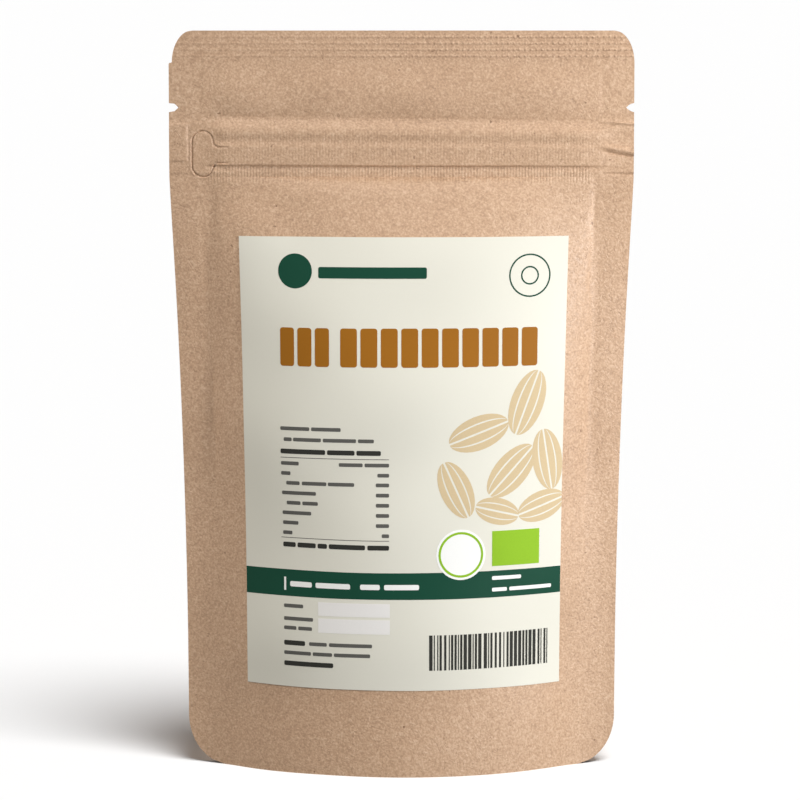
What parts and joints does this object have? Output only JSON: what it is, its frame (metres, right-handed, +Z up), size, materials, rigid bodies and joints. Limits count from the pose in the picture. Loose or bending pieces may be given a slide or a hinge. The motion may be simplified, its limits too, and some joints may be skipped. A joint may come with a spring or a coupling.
{
  "type": "stand-up pouch",
  "caption": "Filled stand-up pouch of kraft paper laminate: bottom gusset, side seals, press-to-close zipper with tear strip, front label, nut kernels inside.",
  "frame": {"origin": "middle of the standing pouch's base, on the surface that it stands on", "axes": "+Z up along the pouch's height, +X to the right across the label as seen from the front, front panel and label facing -Y"},
  "size_m": [0.12, 0.039, 0.1916],
  "materials": {
    "kraft_laminate": "matt",
    "label_paper": "satin",
    "zipper_plastic": "satin",
    "pecan_kernel": "satin"
  },
  "bodies": {
    "root": {"back_panel": "kraft_laminate", "bottom_gusset": "kraft_laminate", "front_label": "label_paper", "front_panel": "kraft_laminate", "pecan_half_01": "pecan_kernel", "pecan_half_02": "pecan_kernel", "pecan_half_03": "pecan_kernel", "pecan_half_04": "pecan_kernel", "pecan_half_05": "pecan_kernel", "pecan_half_06": "pecan_kernel", "pecan_half_07": "pecan_kernel", "pecan_half_08": "pecan_kernel", "pecan_half_09": "pecan_kernel", "pecan_half_10": "pecan_kernel", "pecan_half_11": "pecan_kernel", "pecan_half_12": "pecan_kernel", "pecan_half_13": "pecan_kernel", "pecan_half_14": "pecan_kernel", "pecan_half_15": "pecan_kernel", "pecan_half_16": "pecan_kernel", "pecan_half_17": "pecan_kernel", "pecan_half_18": "pecan_kernel", "pecan_half_19": "pecan_kernel", "pecan_half_20": "pecan_kernel", "pecan_half_21": "pecan_kernel", "pecan_half_22": "pecan_kernel", "pecan_half_23": "pecan_kernel", "pecan_half_24": "pecan_kernel", "pecan_half_25": "pecan_kernel", "pecan_half_26": "pecan_kernel", "pecan_half_27": "pecan_kernel", "pecan_half_28": "pecan_kernel", "pecan_half_29": "pecan_kernel", "pecan_half_30": "pecan_kernel", "pecan_half_31": "pecan_kernel", "pecan_half_32": "pecan_kernel", "pecan_half_33": "pecan_kernel", "pecan_half_34": "pecan_kernel", "pecan_half_35": "pecan_kernel", "pecan_half_36": "pecan_kernel", "pecan_half_37": "pecan_kernel", "pecan_half_38": "pecan_kernel", "pecan_half_39": "pecan_kernel", "tear_strip": "kraft_laminate", "zipper_back_track": "zipper_plastic", "zipper_front_track": "zipper_plastic"}
  },
  "joints": []
}
